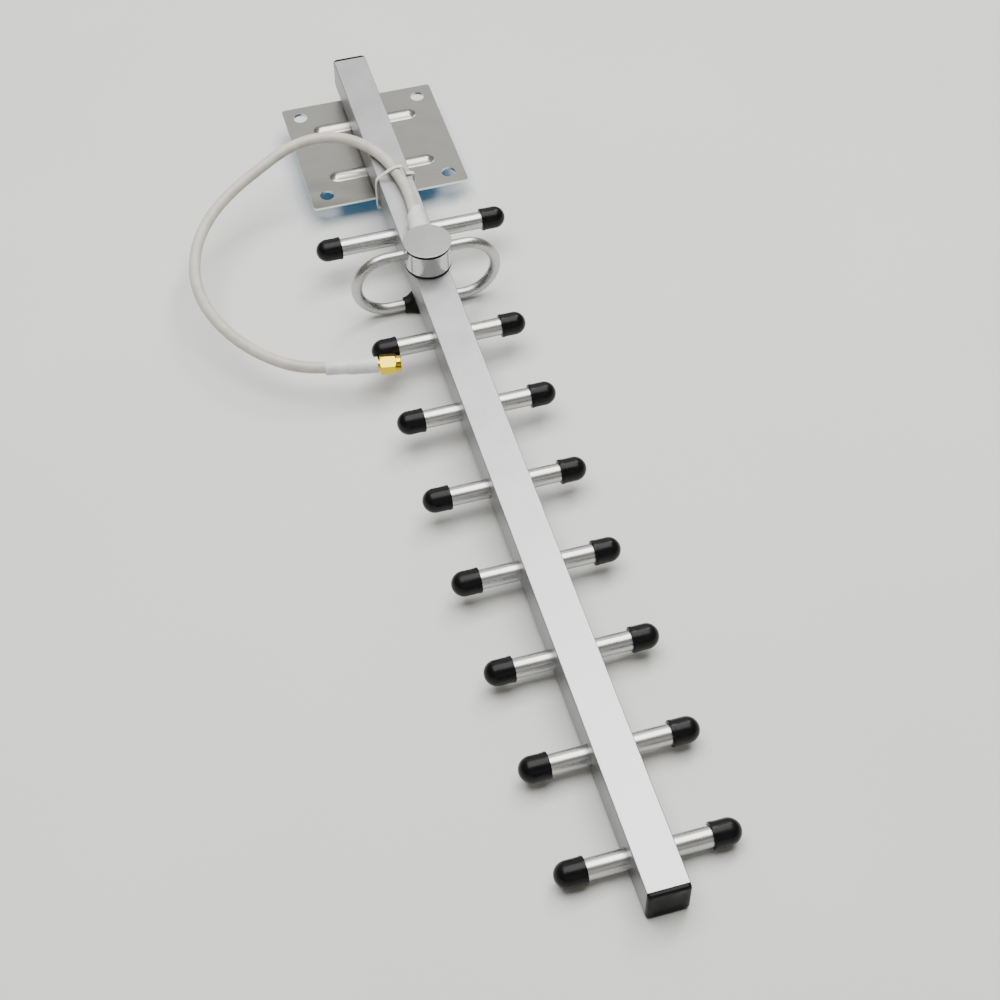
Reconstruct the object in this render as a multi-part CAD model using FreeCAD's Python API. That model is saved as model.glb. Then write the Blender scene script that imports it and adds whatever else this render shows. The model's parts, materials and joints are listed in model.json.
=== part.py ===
"""Nine-element Yagi antenna on a square boom, with a mast plate and a coax pigtail.

Millimetres. The origin is the centre of the four mast bolt holes, on the plate's
underside. +Z points out of the plate towards the boom, which lies along Y. The
directors are at the -Y end, which is the end that is aimed at the far station.
"""
import FreeCAD, Part
import math
import os
from FreeCAD import Vector

# ---------------------------------------------------------------- driving dimensions
PLATE_SIDE = 76.0
PLATE_THICKNESS = 1.2
PLATE_CORNER_R = 1.5
BOLT_SPACING = 60.0
BOLT_HOLE_R = 3.35
BEAD_HEIGHT = 2.0
BEAD_HALF_WIDTH = 2.7
BEAD_HALF_LENGTH = 21.5
BEAD_Y = 18.0
FILM_THICKNESS = 0.15
RIVET_R = 2.0
RIVET_HEAD_R = 3.6
RIVET_HEAD_HEIGHT = 1.0

BOOM_SIDE = 16.0
BOOM_WALL = 1.2
BOOM_EDGE_R = 0.5
BOOM_FRONT_Y = -428.6
BOOM_REAR_Y = 45.6
PLUG_FLANGE = 2.0
PLUG_SPIGOT = 8.0
FIT_GAP = 0.05

ELEMENT_R = 4.0
ELEMENT_WALL = 0.8
ELEMENT_HOLE_GAP = 0.1
ELEMENT_ABOVE_BOOM_BOTTOM = 5.6
DIRECTOR_COUNT = 7
DIRECTOR_PITCH = 44.0
FIRST_DIRECTOR_Y = -144.9
DIRECTOR_HALF = 31.9
REFLECTOR_Y = -75.7
REFLECTOR_HALF = 41.85
# The tubes are pushed in by hand, so each sits a little off the boom's middle.
REFLECTOR_OFFSET = 0.0
DIRECTOR_OFFSETS = [-0.7, -0.4, -0.9, -0.8, -0.1, 0.3, 0.0]

CAP_R = 5.1
CAP_LIP_R = 5.22
CAP_LIP = 0.8
CAP_LENGTH = 11.6
CAP_END_WALL = 3.0

DIPOLE_Y = -108.0
DIPOLE_X = -1.2
ROD_R = 2.5
LOOP_R = 15.2
LOOP_HALF_STRAIGHT = 17.0
UPPER_LEG_ABOVE_BOOM = 8.0
FEED_GAP = 6.0

GASKET_THICKNESS = 1.0
HOUSING_R = 10.2
HOUSING_WALL = 1.6
HOUSING_HEIGHT = 10.7
LID_R = 10.8
LID_THICKNESS = 0.5
LID_SEAL_THICKNESS = 1.6

SADDLE_HALF_LENGTH = 12.2
SADDLE_PAD_HALF = 6.5
SADDLE_SLEEVE_R = 3.5
SADDLE_BASE_WIDTH = 9.0
SADDLE_BORE_R = 2.55

CABLE_R = 2.6
TIE_Y = -47.0
TIE_WIDTH = 1.9
TIE_THICKNESS = 0.8
SLEEVE_R = 4.6
SLEEVE_END = 25.0
CONNECTOR_ANGLE = -11.0
CONNECTOR_REAR = Vector(-34.2, -154.6, 11.0)
NUT_ACROSS_FLATS = 8.0
NUT_HEX_LENGTH = 7.0
NUT_LENGTH = 9.2
NUT_RING_R = 3.65
THREAD_R = 3.175

# ---------------------------------------------------------------- worked-out places
BOOM_BOTTOM = PLATE_THICKNESS + BEAD_HEIGHT
BOOM_TOP = BOOM_BOTTOM + BOOM_SIDE
BOOM_HALF = BOOM_SIDE / 2
ELEMENT_Z = BOOM_BOTTOM + ELEMENT_ABOVE_BOOM_BOTTOM
UPPER_LEG_Z = BOOM_TOP + UPPER_LEG_ABOVE_BOOM
LOWER_LEG_Z = UPPER_LEG_Z - 2 * LOOP_R
HOUSING_BOTTOM = BOOM_TOP + GASKET_THICKNESS
HOUSING_TOP = HOUSING_BOTTOM + HOUSING_HEIGHT
HOUSING_FLOOR_TOP = HOUSING_BOTTOM + HOUSING_WALL
HOUSING_BORE_R = HOUSING_R - HOUSING_WALL
LID_BOTTOM = HOUSING_TOP + LID_SEAL_THICKNESS
HOUSING_SCREWS = [Vector(-4.3, DIPOLE_Y - 5.4, 0), Vector(4.3, DIPOLE_Y - 5.4, 0)]
TERMINAL_X = 5.4

X_AXIS = Vector(1, 0, 0)
Y_AXIS = Vector(0, 1, 0)
Z_AXIS = Vector(0, 0, 1)

# A bead's outside is a circular arc, its inside the same arc one sheet thickness smaller.
BEAD_ARC_R = (BEAD_HEIGHT ** 2 + BEAD_HALF_WIDTH ** 2) / (2 * BEAD_HEIGHT)
BEAD_ARC_Z = BOOM_BOTTOM - BEAD_ARC_R

# The cable's route from the housing to the connector: the corners of its straight runs.
CABLE_ROUTE = [
    Vector(0.4, -100.5, 24.4),
    Vector(1.2, -82.0, 22.9),
    Vector(3.0, -61.5, 22.0),
    Vector(0.4, -44.0, 22.0),
    Vector(-5.0, -28.9, 22.4),
    Vector(-15.6, -17.0, 22.4),
    Vector(-29.4, -11.5, 21.7),
    Vector(-44.4, -13.2, 20.2),
    Vector(-59.8, -22.1, 18.3),
    Vector(-74.6, -31.6, 16.5),
    Vector(-87.9, -44.4, 15.1),
    Vector(-97.7, -61.6, 13.8),
    Vector(-102.4, -83.4, 12.9),
    Vector(-99.2, -106.2, 12.3),
    Vector(-88.4, -128.2, 11.8),
    Vector(-71.2, -145.8, 11.3),
]
CABLE_LAST_CORNER = -17.0
CABLE_END = -4.6


def box(x0, x1, y0, y1, z0, z1):
    return Part.makeBox(x1 - x0, y1 - y0, z1 - z0, Vector(x0, y0, z0))


def rod(radius, start, end):
    """A plain round bar from one point to another."""
    span = end - start
    return Part.makeCylinder(radius, span.Length, start, span)


def tube(outer, inner, start, end):
    return rod(outer, start, end).cut(rod(inner, start, end))


def rounded_square_bar(side, edge_r, y0, y1, centre_z):
    half = side / 2
    bar = box(-half, half, y0, y1, centre_z - half, centre_z + half)
    long_edges = [e for e in bar.Edges if abs(e.tangentAt(0).dot(Y_AXIS)) > 0.99]
    return bar.makeFillet(edge_r, long_edges)


def turned(profile, origin, direction):
    """Turns an outline of (distance along, radius) corners about an axis."""
    points = [Vector(radius, 0, along) for along, radius in profile]
    points.append(points[0])
    face = Part.Face(Part.makePolygon(points))
    solid = face.revolve(Vector(0, 0, 0), Z_AXIS, 360)
    solid.Placement = FreeCAD.Placement(origin, FreeCAD.Rotation(Z_AXIS, direction))
    return solid


# ---------------------------------------------------------------- mast plate
def flat_sheet(side, z0, z1, corner_r):
    half = side / 2
    sheet = box(-half, half, -half, half, z0, z1)
    upright = [e for e in sheet.Edges if abs(e.tangentAt(0).dot(Z_AXIS)) > 0.99]
    sheet = sheet.makeFillet(corner_r, upright)
    for x in (-BOLT_SPACING / 2, BOLT_SPACING / 2):
        for y in (-BOLT_SPACING / 2, BOLT_SPACING / 2):
            sheet = sheet.cut(rod(BOLT_HOLE_R, Vector(x, y, z0 - 1), Vector(x, y, z1 + 1)))
    return sheet


def capsule(radius, y, z):
    """A bar with round ends across the plate, the form of one pressed bead."""
    left = Vector(-BEAD_HALF_LENGTH, y, z)
    right = Vector(BEAD_HALF_LENGTH, y, z)
    shape = rod(radius, left, right)
    shape = shape.fuse(Part.makeSphere(radius, left))
    return shape.fuse(Part.makeSphere(radius, right))


def mount_plate():
    plate = flat_sheet(PLATE_SIDE, 0, PLATE_THICKNESS, PLATE_CORNER_R)
    above = box(-PLATE_SIDE, PLATE_SIDE, -PLATE_SIDE, PLATE_SIDE, PLATE_THICKNESS / 2, 20)
    for y in (-BEAD_Y, BEAD_Y):
        plate = plate.fuse(capsule(BEAD_ARC_R, y, BEAD_ARC_Z).common(above))
    for y in (-BEAD_Y, BEAD_Y):
        plate = plate.cut(capsule(BEAD_ARC_R - PLATE_THICKNESS, y, BEAD_ARC_Z))
        plate = plate.cut(rod(RIVET_R + FIT_GAP, Vector(0, y, -1), Vector(0, y, BOOM_BOTTOM + 1)))
    return plate.removeSplitter()


def protective_film():
    film = flat_sheet(PLATE_SIDE - 0.6, -FILM_THICKNESS, 0, PLATE_CORNER_R)
    for y in (-BEAD_Y, BEAD_Y):
        film = film.cut(rod(RIVET_HEAD_R + 0.2, Vector(0, y, -1), Vector(0, y, 1)))
    return film


def plate_rivets():
    rivets = []
    inside = BOOM_BOTTOM + BOOM_WALL
    for y in (-BEAD_Y, BEAD_Y):
        outline = [
            (-RIVET_HEAD_HEIGHT, 0), (-RIVET_HEAD_HEIGHT, RIVET_HEAD_R - 1.2),
            (-0.3, RIVET_HEAD_R), (0, RIVET_HEAD_R), (0, RIVET_R),
            (inside + 0.05, RIVET_R), (inside + 0.05, RIVET_R + 0.8),
            (inside + 1.8, RIVET_R + 0.3), (inside + 1.8, 0),
        ]
        rivets.append(turned(outline, Vector(0, y, 0), Z_AXIS))
    return Part.makeCompound(rivets)


# ---------------------------------------------------------------- boom and elements
def element_list():
    """Node name, place along the boom, half-length and offset of each straight tube."""
    rows = [("reflector", REFLECTOR_Y, REFLECTOR_HALF, REFLECTOR_OFFSET)]
    for index in range(DIRECTOR_COUNT):
        y = FIRST_DIRECTOR_Y - index * DIRECTOR_PITCH
        rows.append(("director_%d" % (index + 1), y, DIRECTOR_HALF, DIRECTOR_OFFSETS[index]))
    return rows


def boom():
    middle_z = BOOM_BOTTOM + BOOM_HALF
    bar = rounded_square_bar(BOOM_SIDE, BOOM_EDGE_R, BOOM_FRONT_Y, BOOM_REAR_Y, middle_z)
    inner = BOOM_HALF - BOOM_WALL
    bar = bar.cut(box(-inner, inner, BOOM_FRONT_Y - 1, BOOM_REAR_Y + 1,
                      middle_z - inner, middle_z + inner))
    for name, y, half, offset in element_list():
        hole_r = ELEMENT_R + ELEMENT_HOLE_GAP
        bar = bar.cut(rod(hole_r, Vector(-20, y, ELEMENT_Z), Vector(20, y, ELEMENT_Z)))
    for y in (-BEAD_Y, BEAD_Y):
        bar = bar.cut(rod(RIVET_R + FIT_GAP, Vector(0, y, 0), Vector(0, y, middle_z)))
    bar = bar.cut(rod(1.55, Vector(0, DIPOLE_Y, 0), Vector(0, DIPOLE_Y, middle_z)))
    for place in HOUSING_SCREWS:
        bar = bar.cut(rod(1.05, Vector(place.x, place.y, middle_z), Vector(place.x, place.y, 30)))
    return bar


def boom_plug(end_y, outward):
    """End plug: a flange over the tube's end and a hollow spigot inside it."""
    middle_z = BOOM_BOTTOM + BOOM_HALF
    flange_far = end_y + outward * PLUG_FLANGE
    flange = rounded_square_bar(BOOM_SIDE, 1.2, min(end_y, flange_far), max(end_y, flange_far),
                                middle_z)
    outer_rim = [e for e in flange.Edges if abs(e.CenterOfMass.y - flange_far) < 0.01]
    flange = flange.makeFillet(0.8, outer_rim)
    outer = BOOM_HALF - BOOM_WALL - FIT_GAP
    inner = outer - 1.2
    deep = end_y - outward * PLUG_SPIGOT
    low = min(end_y, deep)
    high = max(end_y, deep)
    spigot = box(-outer, outer, low, high, middle_z - outer, middle_z + outer)
    spigot = spigot.cut(box(-inner, inner, low, high, middle_z - inner, middle_z + inner))
    return flange.fuse(spigot).removeSplitter()


def element_tube(y, half, offset):
    left = Vector(offset - half, y, ELEMENT_Z)
    right = Vector(offset + half, y, ELEMENT_Z)
    return tube(ELEMENT_R, ELEMENT_R - ELEMENT_WALL, left, right)


def element_cap(y, half, offset, side):
    """Domed rubber cap with a thin lip at its open end, pushed over a tube's end."""
    tip = Vector(offset + side * (half + CAP_END_WALL), y, ELEMENT_Z)
    inward = Vector(-side, 0, 0)
    body = rod(CAP_R, tip + inward * CAP_R, tip + inward * CAP_LENGTH)
    body = body.fuse(Part.makeSphere(CAP_R, tip + inward * CAP_R))
    body = body.fuse(rod(CAP_LIP_R, tip + inward * (CAP_LENGTH - CAP_LIP), tip + inward * CAP_LENGTH))
    bore = rod(ELEMENT_R + 0.02, tip + inward * CAP_END_WALL, tip + inward * (CAP_LENGTH + 1))
    return body.cut(bore).removeSplitter()


# ---------------------------------------------------------------- driven element
def folded_dipole():
    """A race-track loop of round rod, cut in the middle of its upper leg for the feed."""
    right_x = DIPOLE_X + LOOP_HALF_STRAIGHT
    left_x = DIPOLE_X - LOOP_HALF_STRAIGHT
    middle_z = (UPPER_LEG_Z + LOWER_LEG_Z) / 2
    gap = FEED_GAP / 2
    loop = rod(ROD_R, Vector(left_x, DIPOLE_Y, LOWER_LEG_Z), Vector(right_x, DIPOLE_Y, LOWER_LEG_Z))
    loop = loop.fuse(rod(ROD_R, Vector(gap, DIPOLE_Y, UPPER_LEG_Z), Vector(right_x, DIPOLE_Y, UPPER_LEG_Z)))
    loop = loop.fuse(rod(ROD_R, Vector(left_x, DIPOLE_Y, UPPER_LEG_Z), Vector(-gap, DIPOLE_Y, UPPER_LEG_Z)))
    for x, side in ((right_x, 1), (left_x, -1)):
        ring = Part.makeTorus(LOOP_R, ROD_R, Vector(x, DIPOLE_Y, middle_z), Y_AXIS)
        half = box(min(x, x + side * 40), max(x, x + side * 40),
                   DIPOLE_Y - 10, DIPOLE_Y + 10, middle_z - 40, middle_z + 40)
        loop = loop.fuse(ring.common(half))
    loop = loop.cut(rod(1.6, Vector(0, DIPOLE_Y, LOWER_LEG_Z - 4), Vector(0, DIPOLE_Y, LOWER_LEG_Z + 4)))
    for x in (-TERMINAL_X, TERMINAL_X):
        hole_from = Vector(x, DIPOLE_Y, UPPER_LEG_Z - 1)
        loop = loop.cut(rod(0.85, hole_from, hole_from + Z_AXIS * 5))
    return loop.removeSplitter()


def saddle_section(x, half_width, top):
    """Upright rectangle across the saddle, from its flat underside to the given top."""
    low = LOWER_LEG_Z - SADDLE_SLEEVE_R
    corners = [Vector(x, DIPOLE_Y - half_width, low), Vector(x, DIPOLE_Y + half_width, low),
               Vector(x, DIPOLE_Y + half_width, top), Vector(x, DIPOLE_Y - half_width, top)]
    return Part.makePolygon(corners + [corners[0]])


def dipole_saddle():
    """Insulating boot between the boom's underside and the loop's lower leg."""
    half_base = SADDLE_BASE_WIDTH / 2
    low = LOWER_LEG_Z - SADDLE_SLEEVE_R
    shape = box(-SADDLE_PAD_HALF, SADDLE_PAD_HALF, DIPOLE_Y - half_base, DIPOLE_Y + half_base,
                low, BOOM_BOTTOM)
    for side in (-1, 1):
        flare = [
            saddle_section(side * SADDLE_PAD_HALF, half_base, BOOM_BOTTOM),
            saddle_section(side * 8.0, 4.2, LOWER_LEG_Z + 4.6),
            saddle_section(side * SADDLE_HALF_LENGTH, SADDLE_SLEEVE_R, LOWER_LEG_Z + SADDLE_SLEEVE_R),
        ]
        shape = shape.fuse(Part.makeLoft(flare, True, True))
    leg_from = Vector(-20, DIPOLE_Y, LOWER_LEG_Z)
    shape = shape.cut(rod(SADDLE_BORE_R, leg_from, leg_from + X_AXIS * 40))
    shape = shape.cut(rod(1.6, Vector(0, DIPOLE_Y, low - 1), Vector(0, DIPOLE_Y, BOOM_BOTTOM + 1)))
    seat = Vector(0, DIPOLE_Y, LOWER_LEG_Z - ROD_R)
    shape = shape.cut(rod(3.0, Vector(0, DIPOLE_Y, low - 1), seat))
    return shape.removeSplitter()


def screw(head_r, head_height, shank_r, length, seat, direction):
    """A pan-head screw: the head's underside sits at the seat, the shank goes on from it."""
    outline = [
        (-head_height, 0), (-head_height, head_r * 0.7), (-head_height * 0.5, head_r),
        (0, head_r), (0, shank_r), (length - shank_r, shank_r), (length, shank_r * 0.3),
        (length, 0),
    ]
    solid = turned(outline, seat, direction)
    slot = box(-head_r, head_r, -0.3, 0.3, -head_height - 1, -head_height * 0.55)
    slot.Placement = FreeCAD.Placement(seat, FreeCAD.Rotation(Z_AXIS, direction))
    return solid.cut(slot)


def saddle_screw():
    seat = Vector(0, DIPOLE_Y, LOWER_LEG_Z - ROD_R)
    return screw(2.4, 0.5, 1.5, BOOM_BOTTOM + 3 - seat.z, seat, Z_AXIS)


# ---------------------------------------------------------------- feed housing
def disc(radius, z0, z1):
    return rod(radius, Vector(0, DIPOLE_Y, z0), Vector(0, DIPOLE_Y, z1))


def housing_gasket():
    ring = disc(HOUSING_R + 0.1, BOOM_TOP, HOUSING_BOTTOM)
    for place in HOUSING_SCREWS:
        ring = ring.cut(rod(1.3, Vector(place.x, place.y, BOOM_TOP - 1), Vector(place.x, place.y, 30)))
    return ring


def dipole_housing():
    cup = disc(HOUSING_R, HOUSING_BOTTOM, HOUSING_TOP)
    rims = [e for e in cup.Edges if e.Closed]
    cup = cup.makeFillet(0.3, rims)
    cup = cup.cut(disc(HOUSING_BORE_R, HOUSING_FLOOR_TOP, HOUSING_TOP + 1))
    leg_from = Vector(-20, DIPOLE_Y, UPPER_LEG_Z)
    cup = cup.cut(rod(ROD_R + FIT_GAP, leg_from, leg_from + X_AXIS * 40))
    for place in HOUSING_SCREWS:
        cup = cup.cut(rod(1.3, Vector(place.x, place.y, BOOM_TOP), Vector(place.x, place.y, 23)))
    first, second = CABLE_ROUTE[0], CABLE_ROUTE[1]
    return cup.cut(rod(CABLE_R + 0.02, first - (second - first) * 0.05, second))


def lid_seal():
    return disc(HOUSING_R + 0.1, HOUSING_TOP, LID_BOTTOM).cut(disc(HOUSING_BORE_R, 0, 60))


def housing_lid():
    lid = disc(LID_R, LID_BOTTOM, LID_BOTTOM + LID_THICKNESS)
    rims = [e for e in lid.Edges if e.Closed]
    lid = lid.makeFillet(0.2, rims)
    outer = HOUSING_BORE_R - FIT_GAP
    spigot = disc(outer, HOUSING_TOP - 1.0, LID_BOTTOM).cut(disc(outer - 0.8, 0, 60))
    return lid.fuse(spigot)


def feed_block():
    """Insulator that holds the two ends of the loop apart."""
    block = box(-3.6, 3.6, DIPOLE_Y - 3.6, DIPOLE_Y + 3.6, HOUSING_FLOOR_TOP, UPPER_LEG_Z + 2.3)
    wall = FEED_GAP / 2 - FIT_GAP
    for side in (-1, 1):
        block = block.cut(rod(ROD_R + FIT_GAP, Vector(side * wall, DIPOLE_Y, UPPER_LEG_Z),
                              Vector(side * 10, DIPOLE_Y, UPPER_LEG_Z)))
    return block


def terminal_screws():
    lug_top = UPPER_LEG_Z + ROD_R + 0.4
    screws = []
    for x in (-TERMINAL_X, TERMINAL_X):
        screws.append(screw(1.5, 0.9, 0.8, 2.9, Vector(x, DIPOLE_Y, lug_top), Vector(0, 0, -1)))
    return Part.makeCompound(screws)


def housing_screws():
    screws = []
    for place in HOUSING_SCREWS:
        seat = Vector(place.x, place.y, HOUSING_FLOOR_TOP)
        screws.append(screw(1.6, 1.2, 1.0, 5.5, seat, Vector(0, 0, -1)))
    return Part.makeCompound(screws)


def feed_leads():
    """The core and the screen of the coax, each on a ring lug under its terminal screw."""
    leads = []
    lug_z = UPPER_LEG_Z + ROD_R
    for side in (-1, 1):
        x = side * TERMINAL_X
        lug = tube(1.9, 0.85, Vector(x, DIPOLE_Y, lug_z), Vector(x, DIPOLE_Y, lug_z + 0.4))
        bend = Vector(side * 3.4, DIPOLE_Y + 4.6, lug_z + 0.5)
        start = CABLE_ROUTE[0] + Vector(side * 0.9, -0.3, 0.6)
        tail = Vector(side * 4.6, DIPOLE_Y + 1.75, lug_z + 0.5)
        wire = rod(0.45, start, bend).fuse(Part.makeSphere(0.45, bend)).fuse(rod(0.45, bend, tail))
        leads.append(lug.fuse(wire).fuse(Part.makeSphere(0.45, start)))
    return Part.makeCompound(leads)


# ---------------------------------------------------------------- cable and connector
def connector_direction():
    turn = math.radians(CONNECTOR_ANGLE)
    return Vector(math.cos(turn), math.sin(turn), 0)


def on_connector(along):
    """A point on the connector's axis, measured forwards from the nut's rear face."""
    return CONNECTOR_REAR + connector_direction() * along


def cable_path(corners):
    """Straight runs joined by tangent arcs; also the arc radii."""
    edges = []
    radii = []
    here = corners[0]
    for before, corner, after in zip(corners, corners[1:], corners[2:]):
        back = before - corner
        ahead = after - corner
        turn = math.pi - back.getAngle(ahead)
        radius = 0.45 * min(back.Length, ahead.Length) / math.tan(turn / 2)
        trim = radius * math.tan(turn / 2)
        back.normalize()
        ahead.normalize()
        start = corner + back * trim
        end = corner + ahead * trim
        bisector = (back + ahead).normalize()
        centre = corner + bisector * (radius / math.cos(turn / 2))
        middle = centre - bisector * radius
        edges.append(Part.LineSegment(here, start).toShape())
        edges.append(Part.Arc(start, middle, end).toShape())
        radii.append(round(radius, 1))
        here = end
    edges.append(Part.LineSegment(here, corners[-1]).toShape())
    return Part.Wire(edges), radii


def cable_corners():
    return CABLE_ROUTE + [on_connector(CABLE_LAST_CORNER), on_connector(CABLE_END)]


def coax_cable():
    corners = cable_corners()
    path, radii = cable_path(corners)
    section = Part.Wire([Part.makeCircle(CABLE_R, corners[0], corners[1] - corners[0])])
    solid = path.makePipeShell([section], True, False)
    expected = math.pi * CABLE_R ** 2 * path.Length
    print("cable arc radii", radii)
    print("cable length %.1f, volume %.0f of %.0f" % (path.Length, solid.Volume, expected))
    return solid


def strain_relief_sleeve():
    """Shrink sleeve over the cable where it leaves the housing, thinning to the rear."""
    first, second = CABLE_ROUTE[0], CABLE_ROUTE[1]
    along = (second - first).normalize()
    start = (DIPOLE_Y + HOUSING_R - 1.4 - first.y) / along.y
    outline = [
        (start, CABLE_R + 0.06), (start, SLEEVE_R), (SLEEVE_END - 10, SLEEVE_R),
        (SLEEVE_END - 0.6, SLEEVE_R - 0.6), (SLEEVE_END, SLEEVE_R - 1.2),
        (SLEEVE_END, CABLE_R + 0.06),
    ]
    sleeve = turned(outline, first, along)
    sleeve = sleeve.cut(disc(HOUSING_R + 0.1, BOOM_TOP, HOUSING_TOP))
    return sleeve.cut(box(-20, 20, -120, 0, 0, BOOM_TOP))


def zip_tie():
    """Thin nylon band round the boom and the cable, left slightly loose."""
    y0, y1 = TIE_Y - TIE_WIDTH / 2, TIE_Y + TIE_WIDTH / 2
    corners = [(-8.2, 2.75), (8.2, 2.75), (9.2, 3.8), (9.2, 18.6), (8.3, 19.8), (5.4, 20.0),
               (4.0, 24.2), (2.6, 25.15), (-0.6, 25.15), (-8.0, 20.8), (-9.1, 18.4), (-9.2, 3.9)]
    points = [Vector(x, y0, z) for x, z in corners]
    loop = Part.Wire(Part.makePolygon(points + [points[0]]))
    outer = loop.makeOffset2D(TIE_THICKNESS / 2)
    inner = loop.makeOffset2D(-TIE_THICKNESS / 2)
    band = Part.Face(outer).extrude(Vector(0, y1 - y0, 0))
    band = band.cut(Part.Face(inner).extrude(Vector(0, y1 - y0, 0)))
    head = box(1.5, 5.6, y0 - 0.9, y1 + 0.9, -0.4, 2.5)
    tail = box(0.0, 1.6, y0, y1, 0.4, 1.4)
    return band.fuse(head).fuse(tail).removeSplitter()


def connector_piece(outline):
    return turned(outline, CONNECTOR_REAR, connector_direction())


def connector_heatshrink():
    return connector_piece([
        (-23.5, CABLE_R + 0.05), (-23.5, 3.1), (-13.9, 3.15), (-13.3, 3.45), (-0.9, 3.5),
        (-0.9, 3.16), (-13.5, 3.16), (-13.5, CABLE_R + 0.05),
    ])


def crimp_ferrule():
    return connector_piece([(-13.4, 2.66), (-13.4, 3.1), (-3.6, 3.1), (-3.6, 2.66)])


def connector_body():
    return connector_piece([
        (-3.5, 1.4), (-3.5, 3.1), (-0.5, 3.1), (-0.5, 2.55), (2.45, 2.55), (2.45, 2.25),
        (3.15, 2.25), (3.15, 2.55), (7.6, 2.55), (7.6, 2.05), (-1.2, 2.05), (-1.2, 1.4),
    ])


def connector_dielectric():
    return connector_piece([(-1.2, 0.65), (-1.2, 2.0), (7.2, 2.0), (7.2, 0.65)])


def centre_pin():
    return connector_piece([
        (-3.0, 0), (-3.0, 0.6), (7.4, 0.6), (7.4, 0.46), (8.6, 0.46), (8.9, 0.2), (8.9, 0),
    ])


def snap_ring():
    return connector_piece([(2.5, 2.32), (2.5, 2.95), (3.1, 2.95), (3.1, 2.32)])


def connector_gasket():
    return connector_piece([(4.0, 2.58), (4.0, 3.05), (4.8, 3.05), (4.8, 2.58)])


def coupling_nut():
    """Hexagon nut, corner up, with a round front ring and a chamfered rear, hollow for the jack."""
    corner_r = NUT_ACROSS_FLATS / math.sqrt(3)
    corners = []
    for step in range(7):
        angle = math.radians(60 * step + CONNECTOR_ANGLE)
        corners.append(Vector(corner_r * math.cos(angle), corner_r * math.sin(angle), 0))
    hexagon = Part.Face(Part.makePolygon(corners)).extrude(Vector(0, 0, NUT_HEX_LENGTH))
    hexagon.Placement = FreeCAD.Placement(CONNECTOR_REAR, FreeCAD.Rotation(Z_AXIS, connector_direction()))
    chamfer = connector_piece([
        (0, 0), (0, 3.95), (0.6, corner_r + 0.02), (NUT_HEX_LENGTH - 0.6, corner_r + 0.02),
        (NUT_HEX_LENGTH, 3.95), (NUT_HEX_LENGTH, 0),
    ])
    ring = connector_piece([
        (NUT_HEX_LENGTH - 1, 0), (NUT_HEX_LENGTH - 1, NUT_RING_R), (NUT_LENGTH - 0.3, NUT_RING_R),
        (NUT_LENGTH, NUT_RING_R - 0.3), (NUT_LENGTH, 0),
    ])
    hollow = connector_piece([
        (-1, 0), (-1, 2.6), (2.4, 2.6), (2.4, 3.0), (3.4, 3.0), (3.6, THREAD_R),
        (NUT_LENGTH + 1, THREAD_R), (NUT_LENGTH + 1, 0),
    ])
    return hexagon.common(chamfer).fuse(ring).cut(hollow).removeSplitter()


# ---------------------------------------------------------------- all the nodes
def all_nodes():
    nodes = {
        "mount_plate": mount_plate(),
        "protective_film": protective_film(),
        "plate_rivets": plate_rivets(),
        "boom": boom(),
        "boom_plug_front": boom_plug(BOOM_FRONT_Y, -1),
        "boom_plug_rear": boom_plug(BOOM_REAR_Y, 1),
        "folded_dipole": folded_dipole(),
        "dipole_saddle": dipole_saddle(),
        "saddle_screw": saddle_screw(),
        "housing_gasket": housing_gasket(),
        "dipole_housing": dipole_housing(),
        "lid_seal": lid_seal(),
        "housing_lid": housing_lid(),
        "feed_block": feed_block(),
        "terminal_screws": terminal_screws(),
        "housing_screws": housing_screws(),
        "feed_leads": feed_leads(),
        "strain_relief_sleeve": strain_relief_sleeve(),
        "coax_cable": coax_cable(),
        "zip_tie": zip_tie(),
        "connector_heatshrink": connector_heatshrink(),
        "crimp_ferrule": crimp_ferrule(),
        "connector_body": connector_body(),
        "connector_dielectric": connector_dielectric(),
        "centre_pin": centre_pin(),
        "snap_ring": snap_ring(),
        "connector_gasket": connector_gasket(),
        "coupling_nut": coupling_nut(),
    }
    for name, y, half, offset in element_list():
        nodes[name] = element_tube(y, half, offset)
        nodes[name + "_cap_left"] = element_cap(y, half, offset, -1)
        nodes[name + "_cap_right"] = element_cap(y, half, offset, 1)
    return nodes


os.makedirs("parts", exist_ok=True)
for node_name, node_shape in sorted(all_nodes().items()):
    if not node_shape.isValid():
        print("invalid shape:", node_name)
    node_shape.exportStep("parts/%s.step" % node_name)
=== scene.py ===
import json
import math

import bmesh
import bpy
from mathutils import Matrix, Vector, noise


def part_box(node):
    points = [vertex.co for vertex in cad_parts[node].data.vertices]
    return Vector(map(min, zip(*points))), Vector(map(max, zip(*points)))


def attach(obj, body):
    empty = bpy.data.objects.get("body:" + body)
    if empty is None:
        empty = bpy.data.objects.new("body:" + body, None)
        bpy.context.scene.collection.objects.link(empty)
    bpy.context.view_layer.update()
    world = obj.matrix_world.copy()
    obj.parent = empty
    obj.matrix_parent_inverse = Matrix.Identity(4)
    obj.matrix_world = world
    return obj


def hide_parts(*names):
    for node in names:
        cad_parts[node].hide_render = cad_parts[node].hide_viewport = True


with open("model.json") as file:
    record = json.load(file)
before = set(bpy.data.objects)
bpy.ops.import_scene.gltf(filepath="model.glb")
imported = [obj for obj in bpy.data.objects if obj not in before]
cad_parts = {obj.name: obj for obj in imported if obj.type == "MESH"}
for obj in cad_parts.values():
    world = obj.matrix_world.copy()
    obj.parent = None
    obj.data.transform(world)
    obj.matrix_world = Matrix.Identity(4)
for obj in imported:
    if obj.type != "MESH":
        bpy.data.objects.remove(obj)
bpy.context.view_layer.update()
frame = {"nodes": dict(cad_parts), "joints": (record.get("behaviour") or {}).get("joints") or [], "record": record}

NODES = frame["nodes"]
MM = 0.001
X_AXIS = Vector((1, 0, 0))
Z_AXIS = Vector((0, 0, 1))
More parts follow.
